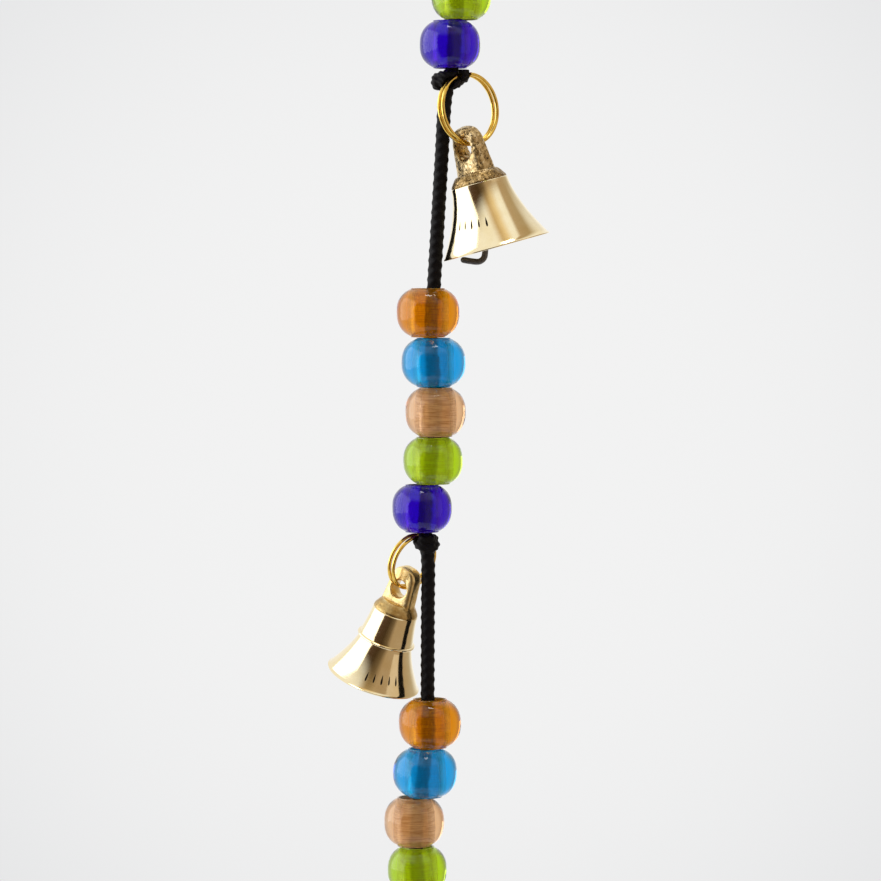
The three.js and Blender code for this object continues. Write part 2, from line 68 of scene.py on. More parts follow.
# The pieces' sizes: the part's own, with a thinner bell wall, and what only the scene shows,
# such as the braid, the pits and the marks
CLEARANCE = 0.3
CORD_RADIUS = 1.35
BRAID_PLAITS = 3
BRAID_RISE = 1.85
BRAID_HEIGHT = 0.11
BRAID_SINK = 0.3
STRAIGHT_SHARES = (0.3, 0.6, 0.9)
KNOT_HEIGHT = 4.2
KNOT_CORE = (0.69, 0.72, 0.47)
KNOT_BIGHT = (0.34, 0.43, 0.41)
KNOT_TURN_SHARE = 0.7
KNOT_UNDER = [(0.6, -0.1, 0.06), (0.25, -0.5, -0.14), (-0.35, -0.46, -0.18), (-0.6, 0.1, -0.02)]
KNOT_OVER = [(-0.5, 0.2, 0.2), (-0.2, -0.42, 0.22), (0.3, -0.42, 0.2), (0.55, 0.2, 0.14)]
KNOT_CORD_END = 0.3
KNOT_PLAIT_PERIOD = 1.15
KNOT_PLAIT_HEIGHT = 0.13
LOOP_HEIGHT = 20
LOOP_HALF_WIDTH = 4.5 + CORD_RADIUS
LOOP_KNOT_WIDTH = 6.7
LOOP_KNOT_LOBE = (-0.85, 0)
LOOP_LEG_SPREAD = 1.05
LOOP_OUTLINE = [(0.62, 0.72), (1, 0.38), (0.86, 0.12), (0.42, -0.05)]
BEAD_HOLE_RADIUS = 2.8
BEAD_PLAY = BEAD_HOLE_RADIUS - CORD_RADIUS - CLEARANCE
BEAD_SQUARENESS = 0.82
BEAD_FILL = 0.2
BEAD_EDGE = 0.25
BEAD_EDGE_CURVE = [(2, 0.12), (1, 0.25), (0.3, 0.8), (0, 2)]
BEAD_LUMP = 0.1
BEAD_LUMPS_APART = 3.7
BEAD_TURN = 0.9
PITS_APART = 11.3
RING_WIRE = 0.7
RING_PITCH = 1.12
RING_TURNS = 1.96
RING_EASE = 0.12
RING_CORNER = math.hypot(RING_PITCH + RING_WIRE, RING_WIRE) / 2
HELD_TURN = (1.3, 1.7, 1.6)
LUG_THICKNESS = 3.2
LUG_FOOT_SINK = 0.3
LUG_SOFT_TOP = 0.9
LUG_HOLE_WAIST = 3.8
LUG_HOLE_MOUTH = 5.3
LUG_HOLE_DEPTH = 4.6
LUG_HOLE_PAST = 0.6
LUG_HOLE_WIDER = 0.5
LUG_HOLE_CURVE = 2.4
SHOULDER_RISE = 1.8
SHOULDER_INSET = 1.4
STAPLE_WIRE = 1
STAPLE_INNER_WIDTH = 2.8
STAPLE_DROP = 3.2
STAPLE_SOCKET = 1.2
CLAPPER_WIRE = 1.2
CLAPPER_EYE_INNER = 2.2
CLAPPER_EYE_FROM = -50
CLAPPER_EYE_ARC = 270
CLAPPER_NECK = 1.9
CLAPPER_BEND = 1.5
CLAPPER_FOOT_RISE = 0.35
FLAT_DEPTH = 0.035
MARK_COUNT = 5
MARK_SPACING = 1.5
MARK_LENGTH = 2.1
MARK_WIDTH = 0.6
MARK_DEPTH = 0.32
MARK_TAPER = 0.4
MARK_SIZES = (0.85, 1.1)
BELL_WALL = 0.7
BELL_CROWN = 1.3
BELL_RIM = 0.22
BELL_SHARP_EDGE = 34
CROWN_TOP_SINK = 0.1
CROWN_EDGE = 0.25
CROWN_SIDE_SINK = 0.35
DRUM_FOOT_GAP = 0.15
DRUM_FLARE = 1.5
SKIRT_TOP_GAP = 0.5
INSIDE_CORNER = 0.4
CAP_SINK = 0.6
CAP_INSIDE = 0.3
CAP_LEDGE = [(0.06, -0.15), (0.12, 0.12)]
CAP_SLOPE = [(0.55, 0.62), (1, 1)]

PLAIN_BELL = dict(
    mouth=10.6, skirt_top=5.55, skirt_height=13.1, flare=1.6, drum=None,
    lug=dict(rise=4.1, top_radius=3.4, base_width=8, base_thickness=5.4), lug_roundness=3.2,
    hole_height=6.9, hole_share=1, clapper=dict(below_mouth=3.1, foot=2.6),
    casting="rough", pit_depth=0.15, marks_face=(-0.55, -1, 0), mark_height=0.42, mark_slant=-0.13,
)
STEPPED_BELL = dict(
    mouth=9.3, skirt_top=5.35, skirt_height=8.3, flare=1.35,
    drum=dict(radius=4.5, height=6, ridge_proud=0.45, ridge_height=0.6),
    lug=dict(rise=4.9, top_radius=2.8, base_width=6.8, base_thickness=3.4), lug_roundness=5,
    hole_height=4.3, hole_share=0.84, clapper=dict(below_mouth=-2, foot=0.9),
    casting="smooth", pit_depth=0.03, marks_face=(0.22, -1, 0), mark_height=0.34, mark_slant=0.1,
)
BEADS = {
    "amber": {"diameter": 12.2, "height": 9.3},
    "turquoise": {"diameter": 12.5, "height": 9.3},
    "peach": {"diameter": 11.8, "height": 9.3},
    "lime": {"diameter": 11.6, "height": 8.9},
    "cobalt": {"diameter": 11.7, "height": 9},
}
# Each stack with its knot, ring and bell, from the top down
STATION_KEYS = "entry exit cord_below knot_width ring_radius ring_sign lug_at lobe bell".split()
STATION_ROWS = [
    (0, 0.34, -1.35, 6.7, 6.7, -1, -168, (-0.66, -0.06), PLAIN_BELL),
    (0.98, 0.5, 0.6, 5.4, 5.2, 1, 169, (-0.62, 0.16), STEPPED_BELL),
    (-0.4, 0, 0, 6, 6.2, 1, 180, (0.85, 0), PLAIN_BELL),
]
STATIONS = [dict(zip(STATION_KEYS, row)) for row in STATION_ROWS]

# Looks. Each glass has its tint, the colour and clearness of the cloudy lining that the rod
# left, the dye in its body with its density, and how far its windings show
CORD_DARK = (0.0012, 0.0008, 0.001)
CORD_WORN = (0.008, 0.006, 0.007)
GLASS_IOR = 1.43
GLASS_ROUGH = 0.02
GLASS_PALER = 0.75
LINING_ROUGH = 0.34
LINING_FROM = BEAD_HOLE_RADIUS + 0.1
LINING_TO = BEAD_HOLE_RADIUS + 0.5
WINDING_SHADE = (0.66, 0.5, 0.38)
GLASS_LOOKS = {
    "amber": ((1, 0.8, 0.12), (1, 0.64, 0.06), 0.66, (0.98, 0.79, 0.01), 440, 0.9),
    "turquoise": ((0.04, 0.84, 1), (0.03, 0.68, 0.97), 0.64, (0.02, 0.81, 0.99), 320, 0.2),
    "peach": ((1, 0.82, 0.58), (1, 0.76, 0.46), 0.4, (1, 0.72, 0.42), 120, 1),
    "lime": ((0.85, 0.97, 0.04), (0.9, 0.98, 0.1), 0.52, (0.82, 0.93, 0.01), 270, 0.5),
    "cobalt": ((0.3, 0.1, 1), (0.3, 0.16, 1), 0.75, (0.6, 0.03, 0.91), 600, 0.1),
}
ROUGH_CAST = [(0.3, (0.24, 0.15, 0.06)), (0.5, (0.60, 0.44, 0.21)), (0.7, (0.88, 0.72, 0.46))]
SMOOTH_CAST = [(0.3, (0.66, 0.45, 0.17)), (0.5, (0.84, 0.63, 0.29)), (0.7, (0.95, 0.79, 0.44))]
# Painted shade multiplied into the cap round the lug's foot, and the heights over which it fades out
CAP_SHADE = (0.56, 0.5, 0.4)
CAP_FADE = (0.5, 0.4)
PIT_DIRT = (0.03, 0.014, 0.006)
PIT_BLEND = (0.56, 0.62)

# The studio: the pale backdrop, and the room's colours as metal mirrors them, each at its
# azimuth in degrees from the viewer
PALE = (0.888, 0.888, 0.888)
PALE_EDGE = (0.745, 0.75, 0.76)
BACKDROP_MIDDLE = (0, 1, -0.05)
ROOM_LIGHT = (0.6, 0.6, 0.6)
ROOM_DIM = (0.44, 0.39, 0.34)
FLOOR_RADIUS = 450 * MM
FLOOR_Z = -760 * MM
FLOOR_COLOUR = (0.8, 0.8, 0.8, 1)
FLOOR_GLOW = 0.6
FLOOR_FADE = (0.2, 0.97)
BACKDROP_EDGE = 0.975
ROOM_BLEND = (0.35, 0.7)
THROUGH_BLEND = (0.2, 0.62)
LAMP_TARGET = (0, 0, -0.15)
LAMPS = [
    ("key_left", (-0.84, -0.04, 0.08), (1.3, 0.9), 5.5, (1, 1, 1)),
    ("fill_right", (0.8, -0.35, -0.1), (0.6, 0.8), 0.4, (1, 0.98, 0.95)),
    ("top_small", (0.02, -0.14, 0.75), (0.24, 0.2), 1.2, (1, 1, 1)),
]
WHITE = (1.0, 1.0, 1.0)
ROOM_LOW = [
    (-60, WHITE),
    (-48, (0.09, 0.05, 0.03)),
    (-16, (0.06, 0.035, 0.015)),
    (5, (0.16, 0.11, 0.06)),
    (20, (0.43, 0.32, 0.21)),
    (90, (0.44, 0.33, 0.22)),
    (130, (0.5, 0.42, 0.31)),
    (160, WHITE),
]
ROOM_HIGH = [
    (-20, WHITE),
    (0, (0.62, 0.45, 0.24)),
    (18, (0.85, 0.68, 0.42)),
    (42, WHITE),
    (62, WHITE),
    (74, (0.5, 0.38, 0.25)),
    (110, (0.45, 0.35, 0.22)),
    (142, WHITE),
]

# How finely the pieces are cut
CURVE_STEPS = 12
CORD_SIDES = 36
CORD_STEP = 0.17
WIRE_SIDES = 16
WIRE_STEP = 0.35
BEAD_SEGMENTS = 72
BEAD_ARC_STEPS = 30
BELL_SEGMENTS = 112
CAST_VOXEL = 0.16
KNOT_VOXEL = 0.17
KNOT_TURN_STEP = 0.25
KNOT_CORE_STEP = 0.5
KNOT_TURN_SIDES = 20
BALL_ROWS = 16
BALL_SEGMENTS = 24
MARK_ROWS = 12
MARK_SEGMENTS = 14
ROUND_END_STEPS = 5
ROUND_END_TIP = 0.05
TUNNEL_STEPS = 96
TUNNEL_SIDES = 24
RING_STEPS_PER_TURN = 110
SKIRT_STEPS = 26
DRUM_STEPS = 8
RIDGE_STEPS = 6
LUG_STEPS = 36
LUG_SIDES = 44
CAP_SEGMENTS = 64
HOLE_SEGMENTS = 36
HOLE_STEPS = 10
BOW_STEPS = 8
EYE_STEPS = 12
BEND_STEPS = 4
FLOOR_SEGMENTS = 96
TINY = 1e-9


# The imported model's joints give each piece its place


def joint(name):
    return next(j for j in frame["joints"] if j["name"] == name)


def pivot(name):
    return Vector(joint(name)["pos_m"]) / MM


def joint_axis(name):
    return Vector(joint(name)["axis"]).normalized()


def frame_matrix(origin, z_axis, x_hint):
    z = z_axis.normalized()
    x = (x_hint - z * x_hint.dot(z)).normalized()
    y = z.cross(x)
    matrix = Matrix((x, y, z)).transposed().to_4x4()
    matrix.translation = origin
    return matrix


def ring_matrix(number, station):
    """The ring's frame: its origin in the knot, X along the wire, Z up to the ring's top."""
    knot_point = pivot(f"ring_{number}_swing")
    along = joint_axis(f"ring_{number}_swing") * station["ring_sign"]
    seat = pivot(f"bell_{number}_swing")
    angle = math.radians(station["lug_at"])
    radius = station["ring_radius"]
    top = seat - knot_point - along * (radius * math.sin(angle))
    return frame_matrix(knot_point, top / (radius * (math.cos(angle) - 1)), along)


def bell_matrix(number, bell):
    """The bell's frame: Z up its axis from 0 at the mouth, X along the lug's hole."""
    seat = pivot(f"bell_{number}_swing")
    up = seat - pivot(f"clapper_{number}_swing")
    lift = LUG_HOLE_WAIST / 2 - RING_CORNER - CLEARANCE
    mouth = bell_height(bell) + bell["hole_height"] + lift
    matrix = frame_matrix(seat, up, joint_axis(f"bell_{number}_swing"))
    return matrix @ Matrix.Translation((0, 0, -mouth))


def bell_height(bell):
    drum = bell["drum"]
    return bell["skirt_height"] + (drum["height"] + drum["ridge_height"] if drum else 0)


# Mesh helpers, all in millimetres until the object is placed


def shade_smooth(mesh):
    mesh.polygons.foreach_set("use_smooth", [True] * len(mesh.polygons))


def new_object(name, vertices, faces, material, matrix=None):
    mesh = bpy.data.meshes.new(name)
    mesh.from_pydata([Vector(v) * MM for v in vertices], [], faces)
    mesh.validate()
    mesh.update()
    shade_smooth(mesh)
    if material:
        mesh.materials.append(material)
    obj = bpy.data.objects.new(name, mesh)
    bpy.context.collection.objects.link(obj)
    if matrix:
        placed = matrix.copy()
        placed.translation = matrix.translation * MM
        obj.matrix_world = placed
    bpy.context.view_layer.update()
    return obj


def finish_piece(obj, body, slot, *nodes):
    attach(obj, body)
    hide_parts(*nodes)
    return obj


def apply_modifiers(obj):
    graph = bpy.context.evaluated_depsgraph_get()
    mesh = bpy.data.meshes.new_from_object(obj.evaluated_get(graph))
    obj.modifiers.clear()
    obj.data = mesh
    shade_smooth(mesh)
    return obj


def join_shapes(shapes):
    """Puts (vertices, faces) shapes into one."""
    vertices, faces = [], []
    for some_vertices, some_faces in shapes:
        offset = len(vertices)
        vertices += [Vector(v) for v in some_vertices]
        faces += [tuple(i + offset for i in face) for face in some_faces]
    return vertices, faces


def moved(shape, matrix):
    return [matrix @ Vector(v) for v in shape[0]], shape[1]


def polar(radius, angle, z):
    return Vector((radius * math.cos(angle), radius * math.sin(angle), z))


def catmull(points):
    """A centripetal curve through the points, as a dense polyline."""

    def mix(a, b, low, high):
        return a * ((high - t) / (high - low)) + b * ((t - low) / (high - low))

    points = [Vector(p) for p in points]
    padded = [points[0] * 2 - points[1], *points, points[-1] * 2 - points[-2]]
    line = []
    for i in range(len(points) - 1):
        p0, p1, p2, p3 = padded[i : i + 4]
        t1 = max((p1 - p0).length ** 0.5, TINY)
        t2 = t1 + max((p2 - p1).length ** 0.5, TINY)
        t3 = t2 + max((p3 - p2).length ** 0.5, TINY)
        for k in range(CURVE_STEPS):
            t = t1 + (t2 - t1) * k / CURVE_STEPS
            a1, a2, a3 = mix(p0, p1, 0, t1), mix(p1, p2, t1, t2), mix(p2, p3, t2, t3)
            line.append(mix(mix(a1, a2, 0, t2), mix(a2, a3, t1, t3), t1, t2))
    line.append(points[-1])
    return line


def even(line, step):
    """The same line with points an even distance apart."""
    lengths = [0.0]
    for a, b in zip(line, line[1:]):
        lengths.append(lengths[-1] + (b - a).length)
    count = max(2, round(lengths[-1] / step))
    result, k = [], 0
    for i in range(count + 1):
        s = lengths[-1] * i / count
        while k < len(line) - 2 and lengths[k + 1] < s:
            k += 1
        span = max(lengths[k + 1] - lengths[k], TINY)
        result.append(line[k].lerp(line[k + 1], min(1, (s - lengths[k]) / span)))
    return result


def smooth_line(points, step):
    return even(catmull(points), step)


def braid(theta, s):
    """The height of a round braid's plaits over the cord's mean surface."""
    row = math.cos(math.tau * s / BRAID_RISE)
    return BRAID_HEIGHT * (math.cos(BRAID_PLAITS * theta) * row - BRAID_SINK)


def round_end(centre, tangent, outward):
    """The rings that close a tube in a dome, each with its place and share of the radius."""
    rings = []
    for k in range(ROUND_END_STEPS):
        turn = math.pi / 2 * k / ROUND_END_STEPS
        share = max(math.sin(turn), ROUND_END_TIP)
        rings.append((centre + outward * math.cos(turn), tangent, share))
    return rings


def skin(rings, closed=False):
    """Joins rings of points into a tube, with a cap at each end unless it is closed."""
    sides, total = len(rings[0]), len(rings)
    faces = []
    for i in range(total if closed else total - 1):
        low, high = i * sides, (i + 1) % total * sides
        for k in range(sides):
            n = (k + 1) % sides
            faces.append((low + k, low + n, high + n, high + k))
    if not closed:
        faces.append(tuple(reversed(range(sides))))
        faces.append(tuple(range((total - 1) * sides, total * sides)))
    return [v for ring in rings for v in ring], faces


def sweep(line, radius, sides, relief=None, closed=False, round_ends=False):
    """A tube along a line, with its rings turned as little as can be."""
    padded = [line[-1], *line, line[0]] if closed else [line[0], *line, line[-1]]
    tangents = [(after - before).normalized() for before, after in zip(padded, padded[2:])]
    normal = tangents[0].orthogonal().normalized()
    centres = [(centre, tangent, 1.0) for centre, tangent in zip(line, tangents)]
    if round_ends:
        head = round_end(line[0], tangents[0], tangents[0] * -radius)
        tail = round_end(line[-1], tangents[-1], tangents[-1] * radius)
        centres = head + centres + tail[::-1]
    rings, s, last = [], 0.0, centres[0][0]
    for centre, tangent, share in centres:
        s += (centre - last).length
        last = centre
        normal = (normal - tangent * normal.dot(tangent)).normalized()
        side = tangent.cross(normal)
        ring = []
        for k in range(sides):
            theta = math.tau * k / sides
            r = (radius + (relief(theta, s) if relief else 0)) * share
            ring.append(centre + normal * (r * math.cos(theta)) + side * (r * math.sin(theta)))
        rings.append(ring)
    return skin(rings, closed)


def lathe(profile, segments, closed_profile=False, wobble=None):
    """Turns (radius, z) points about Z. Points on the axis become one vertex."""
    vertices, rows = [], []
    for r, z in profile:
        if r < TINY:
            rows.append([len(vertices)])
            vertices.append(Vector((0, 0, z)))
            continue
        row = []
        for k in range(segments):
            theta = math.tau * k / segments
            rr, zz = wobble(r, z, theta) if wobble else (r, z)
            row.append(len(vertices))
            vertices.append(polar(rr, theta, zz))
        rows.append(row)
    pairs = list(zip(rows, rows[1:]))
    if closed_profile:
        pairs.append((rows[-1], rows[0]))
    faces = []
    for a, b in pairs:
        for k in range(segments):
            n = (k + 1) % segments
            corners = a[k % len(a)], a[n % len(a)], b[n % len(b)], b[k % len(b)]
            face = tuple(dict.fromkeys(corners))
            if len(face) > 2:
                faces.append(face)
    return vertices, faces


def ellipsoid(radii, rows, segments):
    turns = [math.pi * k / rows for k in range(rows + 1)]
    profile = [(max(0.0, math.sin(turn)), -math.cos(turn)) for turn in turns]
    vertices, faces = lathe(profile, segments)
    return [Vector((v.x * radii[0], v.y * radii[1], v.z * radii[2])) for v in vertices], faces


# Materials


def node_material(name):
    material = bpy.data.materials.new(name)
    material.use_nodes = True
    tree = material.node_tree
    return material, tree, tree.nodes["Principled BSDF"]


def connect(tree, socket, value):
    """Gives a socket another node's output or a plain value."""
    if isinstance(value, bpy.types.NodeSocket):
        tree.links.new(value, socket)
    else:
        socket.default_value = value


def feed(tree, node, **settings):
    """Sets a node's inputs and properties. In an input's name an underscore is a space."""
    for key, value in settings.items():
        name = key.replace("_", " ")
        if name in node.inputs:
            connect(tree, node.inputs[name], value)
        else:
            setattr(node, key, value)


def add_node(tree, kind, **settings):
    node = tree.nodes.new(kind)
    feed(tree, node, **settings)
    return node


def object_coordinates(tree, scale=(1, 1, 1)):
    """Coordinates in millimetres on the object."""
    source = add_node(tree, "ShaderNodeTexCoord").outputs["Object"]
    scale = [s / MM for s in scale]
    return add_node(tree, "ShaderNodeMapping", Vector=source, Scale=scale).outputs["Vector"]


def ramp(tree, factor, stops):
    """A colour, or one number for all three channels, at each place along the factor."""
    node = add_node(tree, "ShaderNodeValToRGB", Fac=factor)
    elements = node.color_ramp.elements
    while len(elements) < len(stops):
        elements.new(0.5)
    for element, (position, value) in zip(elements, stops):
        element.position = position
        element.color = (*value, 1) if isinstance(value, tuple) else (value, value, value, 1)
    return node.outputs["Color"]


def noise_factor(tree, vector, scale, detail, roughness):
    node = add_node(tree, "ShaderNodeTexNoise", Scale=scale, Detail=detail, Roughness=roughness)
    feed(tree, node, Vector=vector)
    return node.outputs["Fac"]


def bump(tree, shader, height, strength, distance):
    node = add_node(tree, "ShaderNodeBump", Strength=strength, Distance=distance * MM)
    feed(tree, node, Height=height)
    feed(tree, shader, Normal=node.outputs["Normal"])


def grainy(name, grain, colours, relief=None, rough=None, **values):
    """A look whose colour, dullness and relief follow one grain: scale, detail, roughness."""
    material, tree, shader = node_material(name)
    factor = noise_factor(tree, object_coordinates(tree), *grain)
    feed(tree, shader, Base_Color=ramp(tree, factor, colours), **values)
    if rough:
        feed(tree, shader, Roughness=ramp(tree, factor, rough))
    if relief:
        bump(tree, shader, factor, *relief)
    return material


def distance_from_axis(tree):
    """How far a point lies from the object's own Z axis, in millimetres."""
    flat = object_coordinates(tree, (1, 1, 0))
    return add_node(tree, "ShaderNodeVectorMath", operation="LENGTH", Vector=flat).outputs["Value"]


def between(tree, value, low, high):
    """Rises from 0 to 1 as the value passes from low to high."""
    node = add_node(tree, "ShaderNodeMapRange", interpolation_type="SMOOTHSTEP")
    feed(tree, node, Value=value, From_Min=low, From_Max=high)
    return node.outputs["Result"]


def mixed(tree, factor, a, b, blend="MIX"):
    """Mixes two colours, each either a socket or a plain colour."""
    node = add_node(tree, "ShaderNodeMix", data_type="RGBA", blend_type=blend)
    for name, kind, value in (("Factor", "VALUE", factor), ("A", "RGBA", a), ("B", "RGBA", b)):
        socket = next(i for i in node.inputs if i.name == name and i.type == kind)
        connect(tree, socket, (*value, 1) if isinstance(value, tuple) else value)
    return next(o for o in node.outputs if o.type == "RGBA")


def math_node(tree, operation, a, b):
    """One sum or comparison of two values, each a socket or a number."""
    node = add_node(tree, "ShaderNodeMath", operation=operation)
    for socket, value in zip(node.inputs, (a, b)):
        connect(tree, socket, value)
    return node.outputs[0]


def glass_material(name, tint, lining, clearness, dye, density, windings):
    """Coloured glass, wound on a rod: clear outside, with a cloudy lining where the rod was."""
    material, tree, shader = node_material(f"{name}_glass")
    stretched = object_coordinates(tree, (1, 1, 2.2))
    broad = noise_factor(tree, stretched, scale=0.3, detail=3, roughness=0.5)
    pale = tuple(1 - (1 - c) * GLASS_PALER for c in tint)
    body = ramp(tree, broad, [(0.3, tint), (0.7, pale)])
    wound = object_coordinates(tree, (0.3, 0.3, 6.5))
    fine = noise_factor(tree, wound, scale=1, detail=3, roughness=0.6)
    lines = ramp(tree, fine, [(0.4, WINDING_SHADE), (0.58, WHITE)])
    cloudy = mixed(tree, windings, lining, mixed(tree, 1, lining, lines, "MULTIPLY"))
    outside = between(tree, distance_from_axis(tree), LINING_FROM, LINING_TO)
    rough = ramp(tree, outside, [(0, LINING_ROUGH), (1, GLASS_ROUGH)])
    colour = mixed(tree, outside, cloudy, body)
    clear = ramp(tree, outside, [(0, clearness), (1, 1)])
    feed(tree, shader, Base_Color=colour, Roughness=rough, Transmission_Weight=clear)
    feed(tree, shader, IOR=GLASS_IOR)
    bump(tree, shader, broad, strength=0.25, distance=0.3)
    absorb = add_node(tree, "ShaderNodeVolumeAbsorption", Density=density, Color=(*dye, 1))
    feed(tree, tree.nodes["Material Output"], Volume=absorb.outputs["Volume"])
    return material


def polished_brass():
    material, tree, shader = node_material("polished_brass")
    turned = object_coordinates(tree, (0.15, 0.15, 9))
    lines = noise_factor(tree, turned, scale=1, detail=3, roughness=0.6)
    broad = noise_factor(tree, object_coordinates(tree), scale=0.22, detail=4, roughness=0.6)
    colour = ramp(tree, broad, [(0.35, (0.88, 0.73, 0.43)), (0.65, (0.94, 0.82, 0.55))])
    rough = ramp(tree, lines, [(0.35, 0.07), (0.7, 0.15)])
    feed(tree, shader, Base_Color=colour, Roughness=rough, Metallic=1)
    bump(tree, shader, lines, strength=0.2, distance=0.02)
    return material


def cast_brass(name, bell, stops, pit_share, low_rough, high_rough):
    """Brass as it left its mould, with dark dirt in its pits and painted shade on the cap round the
    lug's foot.
    """
    material, tree, shader = node_material(name)
    vector = object_coordinates(tree)
    grain = noise_factor(tree, vector, scale=0.9, detail=6, roughness=0.65)
    colour = ramp(tree, grain, stops)
    pits = noise_factor(tree, vector, scale=2.3, detail=3, roughness=0.6)
    pitted = between(tree, pits, *PIT_BLEND)
    dirt = math_node(tree, "MULTIPLY", pitted, pit_share)
    # Painted shade: below the lug the cap is multiplied by CAP_SHADE, so it is darker than the lug
    # above it
    height = add_node(tree, "ShaderNodeSeparateXYZ", Vector=vector).outputs["Z"]
    cap_top = bell_height(bell) + SHOULDER_RISE
    above = between(tree, height, cap_top - CAP_FADE[0], cap_top + CAP_FADE[1])
    cap_in_painted_shade = mixed(tree, 1, colour, CAP_SHADE, "MULTIPLY")
    colour = mixed(tree, above, cap_in_painted_shade, colour)
    rough = ramp(tree, grain, [(0.3, high_rough), (0.75, low_rough)])
    colour = mixed(tree, dirt, colour, PIT_DIRT)
    feed(tree, shader, Base_Color=colour, Roughness=rough, Metallic=1)
    bump(tree, shader, grain, strength=0.35, distance=0.1)
    return material


cord_look = grainy(
    "braided_cord",
    grain=(4.5, 6, 0.7),
    colours=[(0.3, CORD_DARK), (0.75, CORD_WORN)],
    relief=(0.5, 0.12),
    Roughness=0.5,
    Specular_IOR_Level=0.12,
    Sheen_Weight=0.01,
)
skirt_look = polished_brass()
mark_look = grainy(
    "mark_brass",
    grain=(3, 3, 0.5),
    colours=[(0.3, (0.02, 0.012, 0.006)), (0.7, (0.07, 0.045, 0.022))],
    Metallic=0.4,
    Roughness=0.7,
)
cast_looks = {
    "rough": cast_brass(
        "rough_cast_brass", PLAIN_BELL, ROUGH_CAST, pit_share=0.9, low_rough=0.28, high_rough=0.5
    ),
    "smooth": cast_brass(
        "smooth_cast_brass", STEPPED_BELL, SMOOTH_CAST, pit_share=0.12, low_rough=0.26, high_rough=0.4
    ),
}
wire_look = grainy(
    "gold_wire",
    grain=(0.9, 4, 0.6),
    colours=[(0.3, (0.80, 0.50, 0.07)), (0.7, (0.96, 0.72, 0.20))],
    relief=(0.2, 0.04),
    Metallic=1,
    Roughness=0.14,
)
iron_look = grainy(
    "iron_wire",
    grain=(1.8, 6, 0.65),
    colours=[(0.3, (0.05, 0.048, 0.05)), (0.75, (0.22, 0.21, 0.21))],
    relief=(0.4, 0.08),
    rough=[(0.3, 0.6), (0.75, 0.36)],
    Metallic=0.85,
)
glass_looks = {name: glass_material(name, *look) for name, look in GLASS_LOOKS.items()}


# The camera stands where the photograph was taken from


def add_camera():
    side = PHOTO_SIDE_PX / PX_PER_MM * MM
    centre_px = PHOTO_SIDE_PX / 2
    aim = Vector(
        ((centre_px - PHOTO_X0_PX) / PX_PER_MM, 0, -(centre_px - PHOTO_Z0_PX) / PX_PER_MM)
    )
    aim *= MM
    height = -(CAMERA_LEVEL_PX - PHOTO_Z0_PX) / PX_PER_MM * MM
    camera = bpy.data.cameras.new("camera")
    camera.sensor_fit = "HORIZONTAL"
    obj = bpy.data.objects.new("camera", camera)
    bpy.context.collection.objects.link(obj)
    obj.location = (aim.x, -CAMERA_DISTANCE, height)
    direction = aim - obj.location
    obj.rotation_euler = direction.to_track_quat("-Z", "Y").to_euler()
    camera.angle = 2 * math.atan(side / 2 / direction.length)
    camera.clip_start = CAMERA_NEAR
    camera.clip_end = CAMERA_FAR
    bpy.context.scene.camera = obj


# Cord


def strand_route(number, station):
    """The cord's points through a stack of beads: in at the top, between neighbours, out below."""
    kinds = list(BEADS)
    centres = [pivot(f"{kind}_bead_{number}_spin") for kind in kinds]
    first, last = centres[0], centres[-1]
    route = [first + Vector((station["entry"] * BEAD_PLAY, 0, BEADS[kinds[0]]["height"] / 2))]
    for above, here, kind in zip(centres, centres[1:], kinds[1:]):
        gap = above.lerp(here, 0.5)
        gap.z = here.z + (BEADS[kind]["height"] + CLEARANCE) / 2
        route.append(gap)
    below = -BEADS[kinds[-1]]["height"] / 2
    route.append(last + Vector((station["exit"] * BEAD_PLAY, 0, below)))
    return route


def add_cord_piece(name, points, node):
    """A length of braided cord, replacing the cord of its node. It still has to ride."""
    line = smooth_line(points, CORD_STEP)
    shape = sweep(line, CORD_RADIUS, CORD_SIDES, braid, round_ends=True)
    obj = new_object(name, *shape, cord_look)
    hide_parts(node)
    return obj


def bend_at_hinge(obj):
    """Bakes the cord's placement into its mesh."""
    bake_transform(obj)


def tunnel_object(station, matrix):
    """The way of the ring through its knot, as a cutter."""
    radius = station["ring_radius"]
    line = [polar(radius, math.tau * k / TUNNEL_STEPS, 0) for k in range(TUNNEL_STEPS)]
    path = sweep(line, RING_CORNER + RING_EASE, TUNNEL_SIDES, closed=True)
    turn = Matrix.Translation((0, 0, -radius)) @ Matrix.Rotation(math.pi / 2, 4, "X")
    return new_object("tunnel_cutter", *moved(path, matrix @ turn), None)


def ball(centre, radii):
    return moved(ellipsoid(radii, BALL_ROWS, BALL_SEGMENTS), Matrix.Translation(centre))


def strap(points, radius):
    """A turn of cord that lies on a knot."""
    line = smooth_line(points, KNOT_TURN_STEP)
    return sweep(line, radius, KNOT_TURN_SIDES, round_ends=True)


def knot_shapes(top, bottom, width, lobe, held=None):
    """A tight knot: its core, a bight at one side, straps round it, and a turn on the ring."""
    middle = top.lerp(bottom, 0.5)
    half = width / 2
    tall = top.z - bottom.z
    side = math.copysign(1, lobe[0])

    def at(x, y, z):
        return middle + Vector((x * half, y * half, z * tall))

    def sized(shares):
        return half * shares[0], half * shares[1], tall * shares[2]

    core_lift, bight_forward = 0.02, -0.05
    shapes = [
        ball(at(0, 0, core_lift), sized(KNOT_CORE)),
        ball(at(lobe[0], bight_forward, lobe[1]), sized(KNOT_BIGHT)),
        sweep(even([top, middle, bottom], KNOT_CORE_STEP), CORD_RADIUS, KNOT_TURN_SIDES),
    ]
    for turn in (KNOT_UNDER, KNOT_OVER):
        points = [at(side * x, y, z) for x, y, z in turn]
        shapes.append(strap(points, CORD_RADIUS * KNOT_TURN_SHARE))
    if held:
        shapes.append(ball(held, HELD_TURN))
        shapes.append(ball(middle.lerp(held, 0.5), HELD_TURN))
    return shapes


